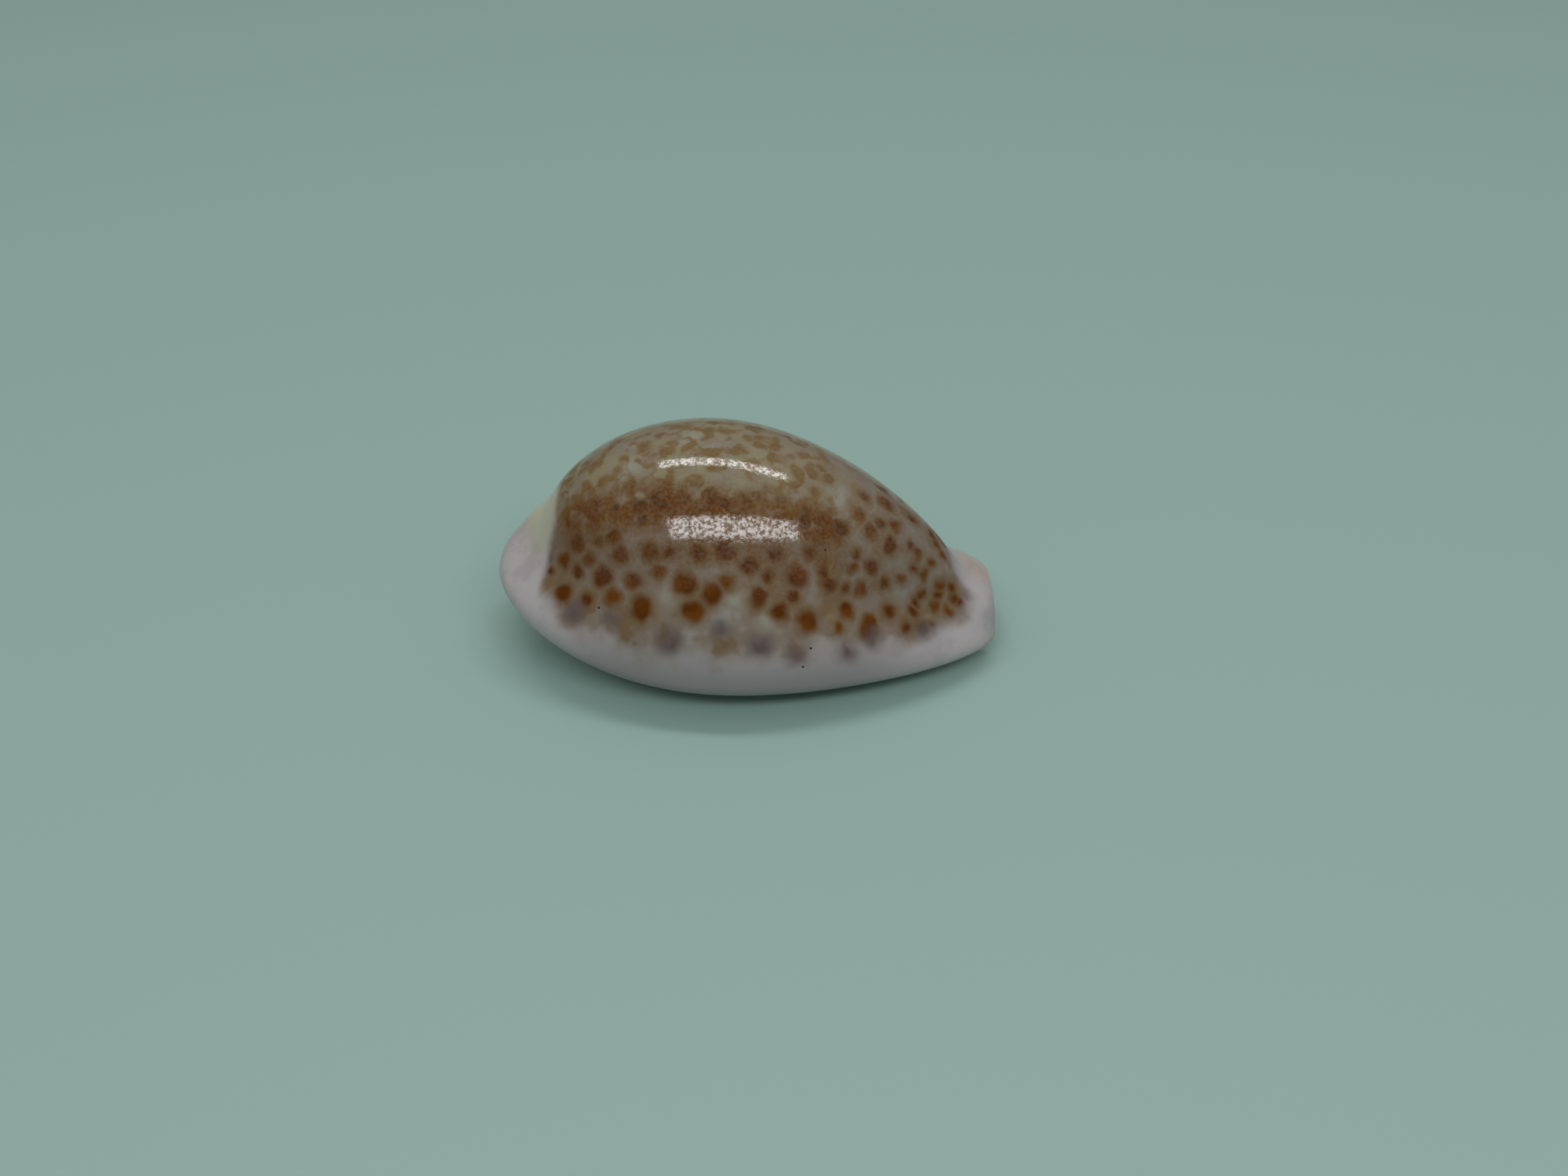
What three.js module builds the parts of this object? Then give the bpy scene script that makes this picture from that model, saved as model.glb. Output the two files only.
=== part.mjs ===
import * as THREE from 'three';
import { ParametricGeometry } from 'three/addons/geometries/ParametricGeometry.js';
import { mergeVertices } from 'three/addons/utils/BufferGeometryUtils.js';

// A small cowrie, 22 mm long, lying on its base. Millimetres, z = 0 is the surface it lies on.
// +X runs to the narrow front (anterior) end, +Z up through the back (dorsum), and the
// toothed outer lip is on the -Y side of the aperture.

// The outside is four rounded swellings that flow into each other: the domed back, the thick
// callus that spreads round the margin and base, the spout at the hind end and the beak in
// front. Each has a centre and its reach in every direction. swell is extra height halfway
// along it, section the power that rounds its cross section (2 is an ellipse), taper the power
// that rounds it along the shell, and lift how far its ends turn up.
const DOME = {
  x: -1.59, y: 0.94, z: 3.91,
  back: 7.87, front: 11.47, near: 5.51, far: 5.51, up: 6.19, down: 3.60, swell: 0,
  section: 1.96, taperBack: 2.01, taperFront: 1.53, liftBack: 0, liftFront: -1.29,
};
const CALLUS = {
  x: -0.67, y: 0.13, z: 2.04,
  back: 10.36, front: 11.75, near: 6.62, far: 5.30, up: 1.88, down: 2.09, swell: 2.88,
  section: 2.14, taperBack: 2.02, taperFront: 1.64, liftBack: 1.62, liftFront: -0.98,
};
const SPOUT = {
  x: -7.62, y: 1.49, z: 4.22,
  back: 2.46, front: 2.46, near: 1.26, far: 1.26, up: 1.50, down: 1.50, swell: 0,
  section: 2, taperBack: 2, taperFront: 2, liftBack: 0, liftFront: 0,
};
const BEAK = {
  x: 5.11, y: 1.74, z: 2.00,
  back: 6.71, front: 6.71, near: 3.38, far: 3.38, up: 1.42, down: 1.42, swell: 0,
  section: 2, taperBack: 2, taperFront: 2, liftBack: 0, liftFront: 0,
};
const SWELLINGS = [DOME, CALLUS, SPOUT, BEAK];
const LIFT_POWER = 2.2;       // how late the ends of the callus turn up or down
const ROUNDING = 0.25;        // keeps every power smooth across its middle plane
const BLEND = 8;              // larger values join the swellings more sharply
const REACH = 13;             // farther from the middle line than any point of the shell

// The middle line from which the wall is measured outward.
const MIDDLE_RISE = 1.8;      // above the callus's own middle, halfway along
const MIDDLE_DRIFT = 0.5;     // toward +Y at both ends, to stay inside the spout and the beak

// Wall, lips and aperture.
const HIND_END = -11.0;       // where the two canals end
const FRONT_END = 11.02;
// The front end is a little askew: from SLANT.start on, the outer lip side reaches further.
const SLANT = { start: 4.8, middle: 1.6, amount: 0.12 };
const CENTRING = 0.14;        // moves the askew shell back to the middle of its own length
const WALL_BACK = 0.95;       // thickness of the back
const WALL_BASE = 2.9;        // thickness of the margin and the lips
const LIP_ROUND = 0.45;       // the outer lip's edge is rounded over this width
const ROLL_ROUND = 1.5;       // the inner (columellar) side rolls into the aperture
const END_ROUND = 0.7;        // the rims at the two ends
const SLIT = { hind: 0.8, middle: 1.0, front: 2.3 };     // width of the aperture
// The tooth tips in plan: a slight S that turns to +Y at both ends.
const LIP_LINE = { y: -1.58, sway: 0.38, bend: 0.8 };

// Teeth on the outer lip.
const TOOTH_PITCH = 0.95;
const TOOTH_HEIGHT = 0.42;
const TOOTH_SPAN = 8.4;       // the row reaches this far fore and aft of the middle
const TOOTH_REACH = 0.9;      // how far the teeth run back over the lip
const STEPS_PER_TOOTH = 3;

// Facets: steps along the shell past the teeth, and steps round it from lip to lip.
const END_STEPS = 13;
const ROUND_STEPS = 29;
const TRACE_STEPS = 180;      // fine steps that measure each outline before it is divided
const LIP_CROWDING = 1.6;     // extra steps within LIP_ZONE of either lip
const LIP_ZONE = 1.6;

function softPower(value, power) {
  const raised = Math.pow(value * value + ROUNDING * ROUNDING, power / 2);
  const full = Math.pow(1 + ROUNDING * ROUNDING, power / 2);
  const least = Math.pow(ROUNDING, power);
  return (raised - least) / (full - least);
}

function lift(body, x) {
  const along = (x - body.x) / (x < body.x ? body.back : body.front);
  const height = x < body.x ? body.liftBack : body.liftFront;
  return height * Math.pow(Math.abs(along), LIFT_POWER);
}

// 1 on the surface of one swelling, less inside it.
function nearness(body, x, y, z) {
  const along = (x - body.x) / (x < body.x ? body.back : body.front);
  const across = (y - body.y) / (y < body.y ? body.near : body.far);
  const height = z - body.z - lift(body, x);
  const belly = Math.max(0, 1 - along * along);
  const upright = height / (height > 0 ? body.up + body.swell * belly * belly : body.down);
  const taper = x < body.x ? body.taperBack : body.taperFront;
  const ring = softPower(across, body.section) + softPower(upright, body.section);
  return Math.pow(softPower(along, taper) + Math.pow(ring, taper / body.section), 1 / taper);
}

function insideShell(x, y, z) {
  const values = SWELLINGS.map((body) => nearness(body, x, y, z));
  const least = Math.min(...values);
  const sum = values.reduce((total, value) => total + Math.exp(BLEND * (least - value)), 0);
  return least - Math.log(sum) / BLEND < 1;
}

function middleAt(x) {
  const along = (x - CALLUS.x) / (x < CALLUS.x ? CALLUS.back : CALLUS.front);
  const outward = Math.min(1, along * along);
  return {
    y: CALLUS.y + MIDDLE_DRIFT * outward,
    z: CALLUS.z + lift(CALLUS, x) + MIDDLE_RISE * (1 - outward),
  };
}

// Distance from the middle line to the outside. angle 0 is straight up and grows toward +Y.
function outerRadius(x, angle) {
  const middle = middleAt(x);
  let inner = 0;
  let outer = REACH;
  for (let step = 0; step < 26; step += 1) {
    const radius = (inner + outer) / 2;
    const y = middle.y + radius * Math.sin(angle);
    const z = middle.z + radius * Math.cos(angle);
    if (insideShell(x, y, z)) {
      inner = radius;
    } else {
      outer = radius;
    }
  }
  return inner;
}

function toothBump(x) {
  const fade = 1 - THREE.MathUtils.smoothstep(Math.abs(x), TOOTH_SPAN - TOOTH_PITCH, TOOTH_SPAN);
  const wave = Math.abs(Math.cos(Math.PI * x / TOOTH_PITCH));
  return TOOTH_HEIGHT * fade * wave;
}

// The line of the tooth tips, seen from below.
function toothLineY(x) {
  return LIP_LINE.y + LIP_LINE.sway * Math.tanh(x / 3) + LIP_LINE.bend * Math.pow(x / 10.2, 6);
}

function slitWidth(x) {
  const side = x < 0 ? SLIT.hind : SLIT.front;
  const far = THREE.MathUtils.smoothstep(Math.abs(x), 3, 9.5);
  return SLIT.middle + (side - SLIT.middle) * far;
}

// The outer lip runs along the roots of the teeth.
function outerLipY(x) {
  return toothLineY(x) - TOOTH_HEIGHT;
}

function innerLipY(x) {
  return toothLineY(x) + slitWidth(x);
}

// The angle at which the outside reaches a given y on the base, on one side of the slit.
function angleOfBaseY(x, y) {
  const middle = middleAt(x);
  let low = Math.PI * 0.5;
  let high = Math.PI * 1.5;
  for (let step = 0; step < 22; step += 1) {
    const angle = (low + high) / 2;
    if (middle.y + outerRadius(x, angle) * Math.sin(angle) > y) {
      low = angle;
    } else {
      high = angle;
    }
  }
  return (low + high) / 2;
}

// 0 at a free edge and 1 once the wall is a full rounding away from it.
function edgeFullness(distance, rounding) {
  const missing = 1 - Math.min(1, Math.max(0, distance / rounding));
  return Math.sqrt(Math.max(0, 1 - missing * missing));
}

// Stations along the shell: even steps over the teeth, closer and closer toward the ends.
const toothStep = TOOTH_PITCH / STEPS_PER_TOOTH;
const evenSteps = Math.round(2 * TOOTH_SPAN / toothStep / 2) * 2;
const evenReach = evenSteps * toothStep / 2;
const stationCount = evenSteps + 2 * END_STEPS;

function stationX(index) {
  const fromMiddle = index - stationCount / 2;
  const beyond = Math.abs(fromMiddle) - evenSteps / 2;
  if (beyond <= 0) {
    return fromMiddle * toothStep;
  }
  const end = fromMiddle < 0 ? -HIND_END : FRONT_END;
  const along = beyond / END_STEPS;
  const eased = 1 - Math.pow(1 - along, 1.8);
  return Math.sign(fromMiddle) * (evenReach + (end - evenReach) * eased);
}

// Divides the outline of one station, from the outer lip over the back to the inner lip, into
// steps of about equal length that crowd toward the lips.
function divideOutline(x) {
  const outerLip = angleOfBaseY(x, outerLipY(x)) - 2 * Math.PI;
  const innerLip = angleOfBaseY(x, innerLipY(x));
  const trace = [];
  for (let step = 0; step <= TRACE_STEPS; step += 1) {
    const angle = outerLip + (innerLip - outerLip) * step / TRACE_STEPS;
    const radius = outerRadius(x, angle);
    const point = new THREE.Vector2(radius * Math.sin(angle), radius * Math.cos(angle));
    const before = trace.at(-1);
    const length = before ? before.length + point.distanceTo(before.point) : 0;
    trace.push({ angle, point, length });
  }
  const whole = trace.at(-1).length;
  trace.forEach((entry) => {
    entry.toOuterLip = entry.length;
    entry.toInnerLip = whole - entry.length;
    const nearest = Math.min(entry.toOuterLip, entry.toInnerLip) / LIP_ZONE;
    entry.crowding = 1 + LIP_CROWDING * Math.exp(-nearest * nearest);
  });
  let travelled = 0;
  trace.forEach((entry, index) => {
    const before = trace[index - 1];
    if (before) {
      travelled += (entry.length - before.length) * (entry.crowding + before.crowding) / 2;
    }
    entry.travelled = travelled;
  });

  const marks = [];
  let at = 0;
  for (let step = 0; step <= ROUND_STEPS; step += 1) {
    const wanted = travelled * step / ROUND_STEPS;
    while (at < TRACE_STEPS - 1 && trace[at + 1].travelled < wanted) {
      at += 1;
    }
    const from = trace[at];
    const to = trace[at + 1];
    const part = (wanted - from.travelled) / (to.travelled - from.travelled);
    marks.push({
      angle: THREE.MathUtils.lerp(from.angle, to.angle, part),
      toOuterLip: THREE.MathUtils.lerp(from.toOuterLip, to.toOuterLip, part),
      toInnerLip: Math.max(0, THREE.MathUtils.lerp(from.toInnerLip, to.toInnerLip, part)),
    });
  }
  return marks;
}

function askewX(x, y) {
  const ramp = Math.max(0, x - SLANT.start) / (FRONT_END - SLANT.start);
  return x - CENTRING - SLANT.amount * (y - SLANT.middle) * ramp * ramp;
}

// The wall at one mark of one station: a point on its outside and one on its inside.
function wallAt(x, mark) {
  const toothRun = toothBump(x) * Math.exp(-mark.toOuterLip / TOOTH_REACH);
  const angle = mark.angle - toothRun / outerRadius(x, mark.angle);
  const radius = outerRadius(x, angle);

  const downward = (1 - Math.cos(angle)) / 2;
  const solid = WALL_BACK + (WALL_BASE - WALL_BACK) * downward * downward;
  const wall = 1 / (1 / solid + 1.1 / radius);

  const toEnd = Math.min(x - HIND_END, FRONT_END - x);
  const outerLip = edgeFullness(mark.toOuterLip, LIP_ROUND);
  const innerLip = edgeFullness(mark.toInnerLip, ROLL_ROUND);
  const fullness = outerLip * innerLip * edgeFullness(toEnd, END_ROUND);

  // The inner lip turns up into the aperture, so its outside gives way more than its inside.
  const rolled = 0.35 + 0.5 * THREE.MathUtils.smoothstep(angle, Math.PI / 2, Math.PI);
  const outside = radius - rolled * wall * (1 - fullness);
  const inside = outside - wall * fullness;

  const middle = middleAt(x);
  return [outside, inside].map((distance) => {
    const y = middle.y + distance * Math.sin(angle);
    const z = middle.z + distance * Math.cos(angle);
    return new THREE.Vector3(askewX(x, y), y, Math.max(0, z));
  });
}

const stations = [];
for (let index = 0; index <= stationCount; index += 1) {
  const x = stationX(index);
  stations.push(divideOutline(x).map((mark) => wallAt(x, mark)));
}

// One closed loop round the wall at each station: out over the back from the outer lip to the
// inner lip, then back again along the inside of the chamber. The loops close up at both ends.
function wallPoint(u, v, target) {
  const marks = stations[Math.round(u * stationCount)];
  const step = Math.round(v * 2 * ROUND_STEPS);
  const [outside, inside] = marks[Math.min(step, 2 * ROUND_STEPS - step)];
  target.copy(step > ROUND_STEPS ? inside : outside);
}

const geometry = new ParametricGeometry(wallPoint, stationCount, 2 * ROUND_STEPS);
geometry.deleteAttribute('normal');
geometry.deleteAttribute('uv');

const shell = new THREE.Mesh(
  mergeVertices(geometry, 1e-4),
  new THREE.MeshStandardMaterial({ color: 0xb08a5c, roughness: 0.22, metalness: 0 }),
);
shell.name = 'shell';

const group = new THREE.Group();
group.add(shell);

export default group;
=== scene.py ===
import math

import bpy
import numpy as np
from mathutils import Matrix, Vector


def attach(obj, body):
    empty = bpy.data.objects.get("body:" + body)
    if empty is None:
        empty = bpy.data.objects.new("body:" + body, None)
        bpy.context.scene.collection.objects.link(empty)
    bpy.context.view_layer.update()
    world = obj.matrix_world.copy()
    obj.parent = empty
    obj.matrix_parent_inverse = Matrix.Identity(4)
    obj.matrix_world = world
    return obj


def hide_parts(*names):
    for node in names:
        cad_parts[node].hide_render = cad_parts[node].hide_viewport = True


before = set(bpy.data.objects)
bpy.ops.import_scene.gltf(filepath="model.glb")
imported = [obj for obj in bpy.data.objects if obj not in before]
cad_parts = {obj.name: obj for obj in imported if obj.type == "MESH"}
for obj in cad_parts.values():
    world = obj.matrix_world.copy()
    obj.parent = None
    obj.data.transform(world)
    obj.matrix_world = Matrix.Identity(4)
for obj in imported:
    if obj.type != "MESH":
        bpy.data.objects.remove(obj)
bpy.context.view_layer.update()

MM = 0.001

# The four rounded swellings that make the outside of the shell, in millimetres.
DOME = dict(
    x=-1.59, y=0.94, z=3.91,
    back=7.87, front=11.47, near=5.51, far=5.51, up=6.19, down=3.60, swell=0,
    section=1.96, taper_back=2.01, taper_front=1.53, lift_back=0, lift_front=-1.29,
)
CALLUS = dict(
    x=-0.67, y=0.13, z=2.04,
    back=10.36, front=11.75, near=6.62, far=5.30, up=1.88, down=2.09, swell=2.88,
    section=2.14, taper_back=2.02, taper_front=1.64, lift_back=1.62, lift_front=-0.98,
)
SPOUT = dict(
    x=-7.62, y=1.49, z=4.22,
    back=2.46, front=2.46, near=1.26, far=1.26, up=1.50, down=1.50, swell=0,
    section=2, taper_back=2, taper_front=2, lift_back=0, lift_front=0,
)
BEAK = dict(
    x=5.11, y=1.74, z=2.00,
    back=6.71, front=6.71, near=3.38, far=3.38, up=1.42, down=1.42, swell=0,
    section=2, taper_back=2, taper_front=2, lift_back=0, lift_front=0,
)
LIFT_POWER = 2.2
ROUNDING = 0.25
BLEND = 8
REACH = 13
MIDDLE_RISE = 1.8
MIDDLE_DRIFT = 0.5

# Wall, lips, aperture and teeth, in millimetres.
HIND_END = -11.0
FRONT_END = 11.02
SLANT_START, SLANT_MIDDLE, SLANT = 4.8, 1.6, 0.12
CENTRING = 0.14
WALL_BACK = 0.95
WALL_BASE = 2.9
LIP_ROUND = 0.45
ROLL_ROUND = 1.5
END_ROUND = 0.7
SLIT_HIND, SLIT_MIDDLE, SLIT_FRONT = 0.8, 1.0, 2.3
LIP_Y, LIP_SWAY, LIP_BEND = -1.58, 0.38, 0.8
TOOTH_PITCH = 0.95
TOOTH_HEIGHT = 0.42
TOOTH_SPAN = 8.4
TOOTH_REACH = 0.9
RIDGE_HEIGHT = 0.05
RIDGE_REACH = 1.6

# Separate spots on the outer-lip side and along the crest: radius in millimetres, then the
# places as millimetres along the shell and degrees round it (0 is the crest, -90 the near side).
SPOTS = {
    0.56: [(-2.1, -66), (-3.9, -78)],
    0.50: [(-5.7, -66), (-1.6, -77), (-0.9, -70), (2.6, -59), (3.1, -80), (-7.5, -79), (4.3, -27)],
    0.43: [
        (-4.3, -66), (-5.2, -75), (-0.4, -50), (1.0, -70), (2.0, -76), (0.6, -57), (-3.6, -52),
        (-5.0, -53), (-1.5, -52), (-7.0, -47), (3.9, -61), (4.7, -75), (5.7, -80), (5.6, -84),
        (6.1, 2), (5.0, -16), (5.5, -23), (6.4, -25), (-7.3, -16), (-6.1, -14), (-4.3, 1),
        (-0.1, -2), (-0.9, 9), (2.0, 2), (3.3, 2), (1.1, -18), (3.1, -13), (-3.5, -27),
        (-1.0, -26), (0.3, -26), (2.8, -24),
    ],
    0.36: [
        (-3.2, -61), (-0.3, -64), (2.4, -69), (1.6, -49), (3.0, -45), (6.5, -74), (5.3, -62),
        (5.7, -44), (-6.4, -57), (-7.6, -61), (-6.9, -65), (-5.3, -44), (6.0, -14), (5.2, -3),
        (6.6, -11), (-6.4, -79), (-2.8, -51), (-5.3, -20), (-3.8, -6), (-1.9, -21), (0.5, 7),
        (9.9, -27), (-5.2, -29), (1.8, -22),
    ],
    0.29: [
        (1.4, -61), (3.7, -55), (4.6, -62), (4.4, -83), (6.2, -55), (6.9, -46), (4.9, -48),
        (5.0, -40), (7.8, -54), (7.5, -73), (7.6, -63), (7.2, -82), (7.8, -82), (8.3, -82),
        (8.5, -50), (8.4, -65), (8.6, -35), (9.1, -31), (9.2, -46), (8.9, -66), (9.5, -50),
        (7.8, -35), (7.4, -33), (7.3, -18), (7.6, -20), (8.2, -21), (8.4, 2), (8.2, 8),
        (7.3, 6), (9.0, 4), (8.7, -3), (-5.9, -46), (-8.4, -59), (-8.3, -70), (-2.9, -17),
        (-4.3, -30), (-6.2, -26), (3.5, -26), (-4.0, -37), (-2.1, -28),
    ],
}
# Spots seen dimly through the edge of the margin.
VEILED_SPOTS = {
    0.55: [(-2.6, -89), (1.2, -89), (-6.9, -86)],
    0.40: [(-0.5, -83), (2.7, -93), (4.8, -92), (-5.2, -84), (5.9, -87), (7.9, -84)],
}
PALE_PATCHES = {0.55: [(0.1, -71), (1.5, -80), (4.1, -11), (-4.8, -10), (-2.3, 3), (-2.7, -70)]}
LIP_SPOT = {0.22: [(-3.6, 190)]}
PITS = {0.05: [(-5.8, -81), (3.7, -42), (3.3, -90), (3.0, -97)]}

# How the edges of these fade: millimetres past the listed radius where the colour is gone, and
# where it is full. The strewn spots' edges are in parts of their spacing instead.
SPOT_CORE, SPOT_HALO = (0.12, -0.25), (0.50, -0.05)
STREWN_CORE, STREWN_HALO = (0.45, 0.24), (0.68, 0.34)
VEILED_EDGE, PALE_EDGE = (0.42, -0.45), (0.35, -0.80)
LIP_SPOT_EDGE, PIT_EDGE = (0.12, -0.12), (0.02, -0.02)

# Where neighbouring spots melt together, and how much smaller the spots are on the crest.
SPOT_MELTING, SPOT_SHRINKING, STREWN_SHRINKING = 0.15, 0.14, 0.09

# Ends of the spotted back, and the place and width of the growth line, along the shell.
BACK_HIND, BACK_FRONT = -8.35, 10.15
GROWTH_LINE, GROWTH_WIDTH = 4.0, 0.14

# The middle of the brown band in degrees, and how far off it the band is full and then gone.
BAND_MIDDLE, BAND_OFF = -30, (4, 16)

# Zones of colour: where each eases in and where it eases out again, in millimetres along the
# shell or in degrees round it.
BAND_ALONG = ((-8.6, -7), (3.8, 5.4))
HAZE_ROUND = ((-64, -50), (-38, -26))
CREST_ROUND, CREST_END = ((-42, -20), (30, 70)), (2, 7)
GROWTH_ROUND = ((-88, -70), (-48, -34))

# Sizes of the patterns in the surface, in millimetres. Real pores are finer, and these are as
# coarse as they need to be to show.
WAVER, WAVER_REACH = 0.769, 0.5
MOTTLE = 1.333
FLECK = 0.667
STREWN_SPACING = 1.053
PORE, PORE_DEPTH = 0.1667, 0.01

# Camera, lamps and what they aim at, in metres. The lens is for a sensor 36 mm wide.
CAMERA, CAMERA_AIM = (0.00653, -0.06178, 0.04633), (0.00159, 0, 0.00272)
LENS = 38.6
LAMP_AIM = (0, 0, 0.006)
HORIZON_LIGHT, OVERHEAD_LIGHT = 0.12, 0.45
FLOOR_HALF = 0.6

# Mesh density.
STATIONS = 400
ROUND_STEPS = 118
TRACE_STEPS = 420
LIP_CROWDING = 1.6
LIP_ZONE = 1.6


def smoothstep(low, high, value):
    part = np.clip((value - low) / (high - low), 0, 1)
    return part * part * (3 - 2 * part)


def plateau(zone, value):
    """1 inside a zone, eased in over its first pair of places and out over its second."""
    rise, fall = zone
    return smoothstep(*rise, value) * (1 - smoothstep(*fall, value))


def soft_power(value, power):
    raised = (value * value + ROUNDING ** 2) ** (power / 2)
    full = (1 + ROUNDING ** 2) ** (power / 2)
    least = ROUNDING ** power
    return (raised - least) / (full - least)


def sided(value, middle, low_side, high_side):
    return np.where(value < middle, low_side, high_side)


def lift(body, x):
    along = (x - body["x"]) / sided(x, body["x"], body["back"], body["front"])
    return sided(x, body["x"], body["lift_back"], body["lift_front"]) * np.abs(along) ** LIFT_POWER


def nearness(body, x, y, z):
    """1 on the surface of one swelling, less inside it."""
    along = (x - body["x"]) / sided(x, body["x"], body["back"], body["front"])
    across = (y - body["y"]) / sided(y, body["y"], body["near"], body["far"])
    height = z - body["z"] - lift(body, x)
    belly = np.maximum(0, 1 - along * along) ** 2
    upright = height / sided(height, 0, body["down"], body["up"] + body["swell"] * belly)
    taper = sided(x, body["x"], body["taper_back"], body["taper_front"])
    ring = soft_power(across, body["section"]) + soft_power(upright, body["section"])
    return (soft_power(along, taper) + ring ** (taper / body["section"])) ** (1 / taper)


def shell_value(x, y, z):
    values = np.stack([nearness(body, x, y, z) for body in (DOME, CALLUS, SPOUT, BEAK)])
    least = values.min(0)
    return least - np.log(np.exp(BLEND * (least - values)).sum(0)) / BLEND


def middle_at(x):
    along = (x - CALLUS["x"]) / sided(x, CALLUS["x"], CALLUS["back"], CALLUS["front"])
    outward = np.minimum(1, along * along)
    y = CALLUS["y"] + MIDDLE_DRIFT * outward
    z = CALLUS["z"] + lift(CALLUS, x) + MIDDLE_RISE * (1 - outward)
    return y, z


def outer_radius(x, angle):
    """Distance from the middle line to the outside; angle 0 is up and grows toward +Y."""
    middle_y, middle_z = middle_at(x)
    sine, cosine = np.sin(angle), np.cos(angle)
    inner = np.zeros_like(x + angle)
    outer = np.full_like(inner, REACH)
    for _ in range(24):
        radius = (inner + outer) / 2
        inside = shell_value(x, middle_y + radius * sine, middle_z + radius * cosine) < 1
        inner = np.where(inside, radius, inner)
        outer = np.where(inside, outer, radius)
    return inner


def tooth_wave(x):
    fade = 1 - smoothstep(TOOTH_SPAN - TOOTH_PITCH, TOOTH_SPAN, np.abs(x))
    return fade * np.abs(np.cos(np.pi * x / TOOTH_PITCH))


def tooth_line_y(x):
    return LIP_Y + LIP_SWAY * np.tanh(x / 3) + LIP_BEND * (x / 10.2) ** 6


def slit_width(x):
    side = np.where(x < 0, SLIT_HIND, SLIT_FRONT)
    return SLIT_MIDDLE + (side - SLIT_MIDDLE) * smoothstep(3, 9.5, np.abs(x))


def angle_of_base_y(x, y):
    """The angle at which the base of a station reaches y."""
    middle_y, _ = middle_at(x)
    low = np.full_like(x, math.pi * 0.5)
    high = np.full_like(x, math.pi * 1.5)
    for _ in range(22):
        angle = (low + high) / 2
        beyond = middle_y + outer_radius(x, angle) * np.sin(angle) > y
        low = np.where(beyond, angle, low)
        high = np.where(beyond, high, angle)
    return (low + high) / 2


def edge_fullness(distance, rounding):
    missing = 1 - np.clip(distance / rounding, 0, 1)
    return np.sqrt(np.maximum(0, 1 - missing * missing))


def station_places():
    """Places along the shell, closer together toward its two ends."""
    part = np.linspace(-1, 1, STATIONS + 1)
    eased = np.sin(part * math.pi / 2 * 0.86) / math.sin(math.pi / 2 * 0.86)
    eased = 0.35 * part + 0.65 * eased
    return np.where(eased < 0, -eased * HIND_END, eased * FRONT_END)


def divide_outlines(x):
    """Angles of evenly spaced marks on every outline, and their distances to both lips."""
    outer_lip = angle_of_base_y(x, tooth_line_y(x) - TOOTH_HEIGHT) - 2 * math.pi
    inner_lip = angle_of_base_y(x, tooth_line_y(x) + slit_width(x))
    part = np.linspace(0, 1, TRACE_STEPS + 1)
    angle = outer_lip[:, None] + (inner_lip - outer_lip)[:, None] * part
    radius = outer_radius(x[:, None], angle)
    y, z = radius * np.sin(angle), radius * np.cos(angle)
    steps = np.hypot(np.diff(y), np.diff(z))
    length = np.concatenate([np.zeros((len(x), 1)), np.cumsum(steps, 1)], 1)
    to_outer, to_inner = length, length[:, -1:] - length
    crowding = 1 + LIP_CROWDING * np.exp(-(np.minimum(to_outer, to_inner) / LIP_ZONE) ** 2)
    weighted = steps * (crowding[:, 1:] + crowding[:, :-1]) / 2
    travelled = np.concatenate([np.zeros((len(x), 1)), np.cumsum(weighted, 1)], 1)
    marks = []
    for row in range(len(x)):
        wanted = np.linspace(0, travelled[row, -1], ROUND_STEPS + 1)
        marks.append([
            np.interp(wanted, travelled[row], column[row])
            for column in (angle, to_outer, to_inner)
        ])
    return np.array(marks).transpose(1, 0, 2)


def askew_x(x, y):
    ramp = np.maximum(0, x - SLANT_START) / (FRONT_END - SLANT_START)
    return x - CENTRING - SLANT * (y - SLANT_MIDDLE) * ramp ** 2


def shell_wall():
    """Outside and inside points of the wall at every mark, in millimetres."""
    x = station_places()
    mark_angle, to_outer, to_inner = divide_outlines(x)
    x = x[:, None]
    tooth_run = TOOTH_HEIGHT * tooth_wave(x) * np.exp(-to_outer / TOOTH_REACH)
    angle = mark_angle - tooth_run / outer_radius(x, mark_angle)
    radius = outer_radius(x, angle)
    radius += RIDGE_HEIGHT * (tooth_wave(x) - 0.6) * np.exp(-(to_outer / RIDGE_REACH) ** 2)

    downward = (1 - np.cos(angle)) / 2
    solid = WALL_BACK + (WALL_BASE - WALL_BACK) * downward ** 2
    wall = 1 / (1 / solid + 1.1 / radius)
    fullness = edge_fullness(to_outer, LIP_ROUND) * edge_fullness(to_inner, ROLL_ROUND)
    fullness = fullness * edge_fullness(np.minimum(x - HIND_END, FRONT_END - x), END_ROUND)
    rolled = 0.35 + 0.5 * smoothstep(math.pi / 2, math.pi, angle)
    outside = radius - rolled * wall * (1 - fullness)
    inside = outside - wall * fullness

    middle_y, middle_z = middle_at(x)
    points = []
    for distance in (outside, inside):
        y = middle_y + distance * np.sin(angle)
        z = np.maximum(0, middle_z + distance * np.cos(angle))
        points.append(np.stack([askew_x(x, y), y, z], -1))
    return points, to_outer, to_inner, angle


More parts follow.
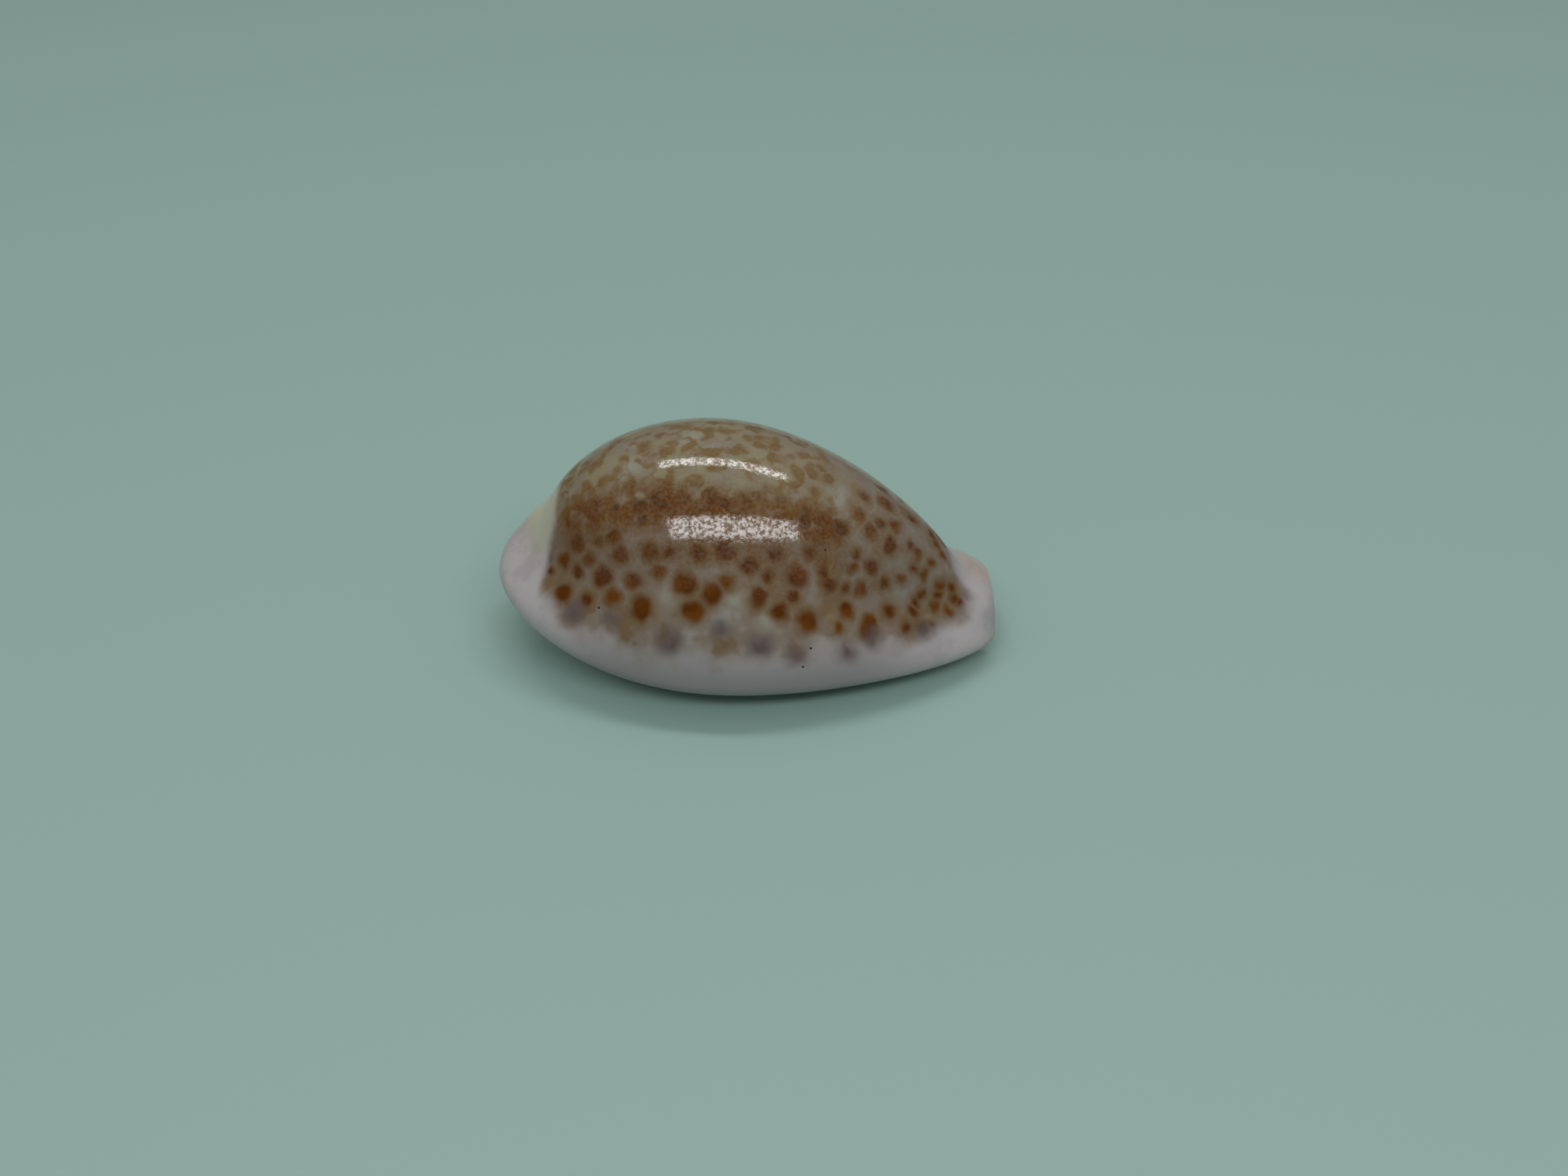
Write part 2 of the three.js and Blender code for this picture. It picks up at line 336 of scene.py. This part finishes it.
def surface_fields(outside, to_outer, to_inner, angle):
    """How much each zone of colour covers the outside of the wall at every mark."""
    x = station_places()[:, None] + np.zeros_like(angle)
    y, z = outside[..., 1], outside[..., 2]
    degrees = np.degrees(angle)
    dome, callus, spout, beak = [nearness(body, x, y, z) for body in (DOME, CALLUS, SPOUT, BEAK)]

    # The margin climbs over the edge of the dome, and further on the far side. The field is
    # about the millimetres past that edge, negative above it, and its corners are rounded.
    beside = np.minimum(callus, beak) - dome
    climb = (0.5 * smoothstep(-2, 2, y) - 0.33) * (1 - (x / 9.9) ** 4)
    behind = 2 * (BACK_HIND - 0.25 * np.maximum(0, 5.6 - z) - x)
    ahead = x - BACK_FRONT + smoothstep(-0.4, 0.7, y)
    margin = np.logaddexp.reduce([16 * (climb - beside), 3 * behind, 3 * ahead]) / 3

    # The band runs along the near side of the crest, with a thinner haze of it below.
    off_band = np.abs(degrees - BAND_MIDDLE + 2.5 * np.exp(-(x / 3.2) ** 2))
    band = np.maximum(1 - smoothstep(*BAND_OFF, off_band), 0.45 * plateau(HAZE_ROUND, degrees))
    band = band * plateau(BAND_ALONG, x)

    # Strewn spots take over past the listed ones, which reach further round at the front.
    from_degrees = -34 + 44 * smoothstep(3.2, 4.6, x)
    strewn = smoothstep(from_degrees - 3, from_degrees + 5, degrees)
    crest = plateau(CREST_ROUND, degrees) * (1 - smoothstep(*CREST_END, x))
    growth = np.exp(-((x - GROWTH_LINE + 0.004 * (degrees + 60)) / GROWTH_WIDTH) ** 2)
    from_lips = np.minimum(to_outer, to_inner)
    return {
        "margin": margin,
        "band": band,
        "strewn": strewn,
        "crest": crest,
        "growth": 0.8 * growth * plateau(GROWTH_ROUND, degrees),
        "polish": 1 - 0.95 * smoothstep(-2.6, -1.5, margin) + 0.5 * smoothstep(0.4, 1.6, margin),
        # Painted shade: the low middle of the margin, where it turns under, is painted darker.
        "painted_shade": (1 - smoothstep(2.2, 3.8, z)) * (1 - smoothstep(4.5, 9.5, np.abs(x))),
        "base": smoothstep(116, 144, np.abs(degrees)),
        "spout": (1 - smoothstep(1.5, 3.2, spout)) * smoothstep(4.2, 5.6, z),
        "beak": smoothstep(8.6, 10.2, x) * smoothstep(0.3, 1.6, y),
        "canal": 0.7 * smoothstep(8, 9.6, x) * (1 - smoothstep(0.3, 1.2, from_lips)),
    }


def build_shell():
    (outside, inside), to_outer, to_inner, angle = shell_wall()
    rows, marks = outside.shape[:2]
    columns = 2 * marks - 2
    back = slice(marks - 2, 0, -1)
    loops = np.concatenate([outside, inside[:, back]], 1)

    # The loops close up at both ends, where inside and outside share their points.
    number = np.arange(rows * columns).reshape(rows, columns)
    for row in (0, rows - 1):
        number[row, marks:] = number[row, back]
    used, number = np.unique(number, return_inverse=True)
    number = number.reshape(rows, columns)
    vertices = loops.reshape(-1, 3)[used] * MM

    next_mark = np.roll(number, -1, axis=1)
    quads = np.stack(
        [number[:-1], next_mark[:-1], next_mark[1:], number[1:]], -1
    ).reshape(-1, 4)
    faces = [list(dict.fromkeys(quad)) for quad in quads.tolist()]

    mesh = bpy.data.meshes.new("cowrie_shell")
    mesh.from_pydata(vertices.tolist(), [], faces)
    mesh.validate()
    mesh.shade_smooth()

    def keep(name, outer_values, inner_values):
        values = np.concatenate([outer_values, inner_values[:, back]], 1)
        field = mesh.attributes.new(name, "FLOAT", "POINT")
        field.data.foreach_set("value", values.reshape(-1)[used].astype(np.float32))

    for name, values in surface_fields(outside, to_outer, to_inner, angle).items():
        keep(name, values, values if name in ("canal", "base") else np.zeros_like(values))
    keep("inner", np.zeros_like(to_outer), np.ones_like(to_outer))

    shell = bpy.data.objects.new("cowrie_shell", mesh)
    bpy.context.scene.collection.objects.link(shell)
    return shell


def linear(hex_colour):
    """An sRGB hex colour as linear red, green, blue and alpha."""
    channels = [int(hex_colour[i:i + 2], 16) / 255 for i in (1, 3, 5)]
    values = [c / 12.92 if c <= 0.04045 else ((c + 0.055) / 1.055) ** 2.4 for c in channels]
    return (*values, 1)


def add_node(tree, kind, inputs=None, **settings):
    """Adds a node, sets its settings, and fills or links its inputs by name or number."""
    node = tree.nodes.new(kind)
    for name, value in settings.items():
        setattr(node, name, value)
    for name, value in (inputs or {}).items():
        socket = node.inputs[name]
        if isinstance(value, bpy.types.NodeSocket):
            tree.links.new(value, socket)
        else:
            socket.default_value = value
    return node


def point_on_shell(x, degrees):
    """The place on the outside at x and so many degrees from the crest, in millimetres."""
    along, angle = np.array([float(x)]), np.array([math.radians(degrees)])
    radius = outer_radius(along, angle)
    middle_y, middle_z = middle_at(along)
    y = middle_y + radius * np.sin(angle)
    z = middle_z + radius * np.cos(angle)
    return (askew_x(along, y)[0], y[0], z[0])


def distance_to_spots(tree, place, spots):
    """Millimetres from a place to the edge of the nearest listed spot, negative within it."""
    nearest = None
    for radius, centres in spots.items():
        for centre in centres:
            gap = add_node(tree, "ShaderNodeVectorMath", {
                0: place, 1: point_on_shell(*centre),
            }, operation="DISTANCE")
            edge = add_node(tree, "ShaderNodeMath", {
                0: gap.outputs["Value"], 1: radius,
            }, operation="SUBTRACT").outputs[0]
            if nearest is None:
                nearest = edge
                continue
            nearest = add_node(tree, "ShaderNodeMath", {
                0: nearest, 1: edge, 2: SPOT_MELTING,
            }, operation="SMOOTH_MIN").outputs[0]
    return nearest


def mask(tree, value, clear_at, full_at, within=1.0):
    """0 where the value is at clear_at, eased up to the mask it lies within at full_at."""
    return add_node(tree, "ShaderNodeMapRange", {
        "Value": value, "From Min": clear_at, "From Max": full_at, "To Max": within,
    }, interpolation_type="SMOOTHSTEP").outputs["Result"]


def lay_colours(tree, ground, layers):
    """Lays colours over the ground in turn, each where its mask is 1."""
    colour = linear(ground)
    for cover, shade in layers:
        shade = linear(shade) if isinstance(shade, str) else shade
        colour = add_node(tree, "ShaderNodeMix", {
            0: cover, 6: colour, 7: shade,
        }, data_type="RGBA").outputs[2]
    return colour


def spot_masks(tree, field, wavering):
    """The dense core of every spot, and the paler halo that runs into the halos next to it."""
    from_strewn = add_node(tree, "ShaderNodeTexVoronoi", {
        "Vector": wavering, "Scale": 1 / STREWN_SPACING, "Smoothness": 0.25,
    }, feature="SMOOTH_F1").outputs["Distance"]

    # Both are smaller on the crest, and the halos fade there.
    from_strewn = add_node(tree, "ShaderNodeMath", {
        0: field["crest"], 1: STREWN_SHRINKING, 2: from_strewn,
    }, operation="MULTIPLY_ADD").outputs[0]
    from_spots = add_node(tree, "ShaderNodeMath", {
        0: field["crest"], 1: SPOT_SHRINKING, 2: distance_to_spots(tree, wavering, SPOTS),
    }, operation="MULTIPLY_ADD").outputs[0]
    core = add_node(tree, "ShaderNodeMath", {
        0: mask(tree, from_spots, *SPOT_CORE),
        1: mask(tree, from_strewn, *STREWN_CORE, within=field["strewn"]),
    }, operation="MAXIMUM").outputs[0]
    halo = add_node(tree, "ShaderNodeMath", {
        0: mask(tree, from_spots, *SPOT_HALO),
        1: mask(tree, from_strewn, *STREWN_HALO, within=field["strewn"]),
    }, operation="MAXIMUM").outputs[0]
    return core, mask(tree, field["crest"], 1.6, 0.0, within=halo)


def shell_colour(tree, field, place):
    """The colours of the back, the margin, the base and the inside, laid over each other."""
    # The places waver, so that the edges of the markings are not too even.
    waver = add_node(tree, "ShaderNodeTexNoise", {
        "Vector": place, "Scale": 1 / WAVER, "Detail": 1.0,
    }).outputs["Color"]
    wavering = add_node(tree, "ShaderNodeVectorMath", {
        0: waver, 1: (WAVER_REACH,) * 3, 2: place,
    }, operation="MULTIPLY_ADD").outputs["Vector"]
    wavering = add_node(tree, "ShaderNodeVectorMath", {
        0: wavering, 1: (WAVER_REACH / 2,) * 3,
    }, operation="SUBTRACT").outputs["Vector"]
    mottle = add_node(tree, "ShaderNodeTexNoise", {
        "Vector": place, "Scale": 1 / MOTTLE, "Detail": 3.0,
    }).outputs["Fac"]
    flecks = add_node(tree, "ShaderNodeTexNoise", {
        "Vector": wavering, "Scale": 1 / FLECK, "Detail": 2.0, "Roughness": 0.5,
    }).outputs["Fac"]

    core, halo = spot_masks(tree, field, wavering)
    veiled = mask(tree, distance_to_spots(tree, wavering, VEILED_SPOTS), *VEILED_EDGE)
    pale = mask(tree, distance_to_spots(tree, wavering, PALE_PATCHES), *PALE_EDGE)
    lip_spot = mask(tree, distance_to_spots(tree, wavering, LIP_SPOT), *LIP_SPOT_EDGE)
    pits = mask(tree, distance_to_spots(tree, place, PITS), *PIT_EDGE)
    band = mask(tree, flecks, 0.20, 0.56, within=field["band"])

    # The spots are olive brown on the crest, orange brown on the side, and a dim purple brown
    # where they pass under the edge of the margin.
    dimming = mask(tree, field["margin"], -0.7, 0.1)
    core_colour = lay_colours(tree, "#5a300d", [
        (mask(tree, mottle, 0.42, 0.62), "#6b3e12"),
        (field["crest"], "#76562b"),
        (field["band"], "#54300b"),
        (dimming, "#54403b"),
    ])
    halo_colour = lay_colours(tree, "#745d41", [(field["crest"], "#866b40"), (dimming, "#756a68")])

    # The margin's edge wanders by part of a millimetre with the mottling.
    past_edge = add_node(tree, "ShaderNodeMath", {
        0: mottle, 1: 0.9, 2: field["margin"],
    }, operation="MULTIPLY_ADD").outputs[0]
    margin_colour = lay_colours(tree, "#b3adae", [
        (mask(tree, mottle, 0.50, 0.68), "#a9a2a5"),
        # Painted shade: a darker grey on the low middle of the margin.
        (field["painted_shade"], "#979193"),
        (field["spout"], "#c8c2a6"),
        (field["beak"], "#b9a9a3"),
    ])

    # The noise patterns lie round 0.5, so each mask of one covers about a half of its zone.
    return lay_colours(tree, "#847669", [
        (mask(tree, mottle, 0.50, 0.72), "#98918a"),
        (mask(tree, mottle, 0.46, 0.34), "#7a634b"),
        (mask(tree, mottle, 0.70, 0.36, within=field["crest"]), "#91866a"),
        (pale, "#9c998c"),
        (mask(tree, flecks, 0.05, 0.72, within=halo), halo_colour),
        (mask(tree, flecks, 0.46, 0.64, within=field["crest"]), "#7d623a"),
        (band, "#714a18"),
        (mask(tree, mottle, 0.60, 0.42, within=band), "#673d10"),
        (mask(tree, flecks, 0.35, 0.60, within=field["growth"]), "#8d7340"),
        (mask(tree, field["crest"], 2.8, 0.0, within=core), core_colour),
        (mask(tree, past_edge, -0.1, 0.9), margin_colour),
        (mask(tree, flecks, -0.2, 0.7, within=veiled), "#635554"),
        (field["base"], "#cfcab8"),
        (lip_spot, "#8a6244"),
        (field["canal"], "#b59a72"),
        (field["inner"], "#94836f"),
        (pits, "#1d1715"),
    ])


def polish(tree, field, place, shader):
    """Gloss that dulls at the foot of the dome, with fine pores that break up its highlights."""
    pores = add_node(tree, "ShaderNodeTexNoise", {
        "Vector": place, "Scale": 1 / PORE, "Detail": 4.0, "Roughness": 0.6,
    }).outputs["Fac"]
    grain = add_node(tree, "ShaderNodeBump", {
        "Height": pores, "Strength": 0.25, "Distance": PORE_DEPTH * MM,
    }).outputs["Normal"]
    unbroken = add_node(tree, "ShaderNodeMapRange", {
        "Value": pores, "From Min": 0.42, "From Max": 0.58, "To Min": 0.15, "To Max": 1.0,
    }).outputs["Result"]
    gloss = add_node(tree, "ShaderNodeMath", {
        0: field["polish"], 1: unbroken,
    }, operation="MULTIPLY").outputs[0]
    tree.links.new(grain, shader.inputs["Normal"])
    tree.links.new(gloss, shader.inputs["Specular IOR Level"])
    shader.inputs["Roughness"].default_value = 0.08
    shader.inputs["IOR"].default_value = 1.55


def enamel():
    """Shell lime laid down in thin, clear layers and kept polished by the living animal.

    To the eye it is a hard gloss over soft-edged colours that lie at different depths.
    """
    material = bpy.data.materials.new("cowrie_enamel")
    material.use_nodes = True
    tree = material.node_tree
    shader = tree.nodes["Principled BSDF"]
    names = (
        "margin", "band", "strewn", "crest", "growth", "polish", "painted_shade", "base", "spout", "beak",
        "canal", "inner",
    )
    field = {
        name: add_node(tree, "ShaderNodeAttribute", attribute_name=name).outputs["Fac"]
        for name in names
    }
    metres = add_node(tree, "ShaderNodeTexCoord").outputs["Object"]
    place = add_node(tree, "ShaderNodeVectorMath", {
        0: metres, "Scale": 1 / MM,
    }, operation="SCALE").outputs["Vector"]
    tree.links.new(shell_colour(tree, field, place), shader.inputs["Base Color"])
    polish(tree, field, place, shader)
    return material


def place_camera():
    data = bpy.data.cameras.new("camera")
    data.sensor_width = 36
    data.lens = LENS
    data.clip_start = 0.001
    camera = bpy.data.objects.new("camera", data)
    bpy.context.scene.collection.objects.link(camera)
    camera.location = CAMERA
    aim_at(camera, CAMERA_AIM)
    bpy.context.scene.camera = camera


def aim_at(thing, target):
    direction = Vector(target) - thing.location
    thing.rotation_euler = direction.to_track_quat("-Z", "Y").to_euler()


def hang_lamp(name, place, size, watts):
    data = bpy.data.lights.new(name, "AREA")
    data.shape = "RECTANGLE"
    data.size, data.size_y = size
    data.energy = watts
    lamp = bpy.data.objects.new(name, data)
    bpy.context.scene.collection.objects.link(lamp)
    lamp.location = place
    aim_at(lamp, LAMP_AIM)


def light_studio():
    world = bpy.data.worlds.new("studio")
    bpy.context.scene.world = world
    world.use_nodes = True
    tree = world.node_tree
    background = tree.nodes["Background"]
    background.inputs["Color"].default_value = linear("#e9efed")

    # The room is brighter overhead than toward the horizon.
    direction = add_node(tree, "ShaderNodeTexCoord").outputs["Generated"]
    height = add_node(tree, "ShaderNodeSeparateXYZ", {0: direction}).outputs["Z"]
    strength = add_node(tree, "ShaderNodeMapRange", {
        "Value": height, "To Min": HORIZON_LIGHT, "To Max": OVERHEAD_LIGHT,
    }).outputs["Result"]
    tree.links.new(strength, background.inputs["Strength"])

    # Two long soft lamps over the shell, one just beyond it and one on the camera's side.
    hang_lamp("lamp_over", place=(0, 0.073, 0.291), size=(0.29, 0.040), watts=0.22)
    hang_lamp("lamp_front", place=(0.035, -0.191, 0.231), size=(0.336, 0.062), watts=0.32)


def lay_floor():
    mesh = bpy.data.meshes.new("floor")
    corners = [(-1, -1), (1, -1), (1, 1), (-1, 1)]
    mesh.from_pydata([(FLOOR_HALF * x, FLOOR_HALF * y, 0) for x, y in corners], [], [range(4)])
    floor = bpy.data.objects.new("floor", mesh)
    bpy.context.scene.collection.objects.link(floor)
    material = bpy.data.materials.new("floor")
    material.use_nodes = True
    shader = material.node_tree.nodes["Principled BSDF"]
    shader.inputs["Base Color"].default_value = linear("#9fbdb5")
    shader.inputs["Roughness"].default_value = 0.6
    mesh.materials.append(material)


# Colours show as they were chosen.
bpy.context.scene.view_settings.view_transform = "Standard"

shell = build_shell()
shell.data.materials.append(enamel())
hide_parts("shell")
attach(shell, "root")
place_camera()
light_studio()
lay_floor()
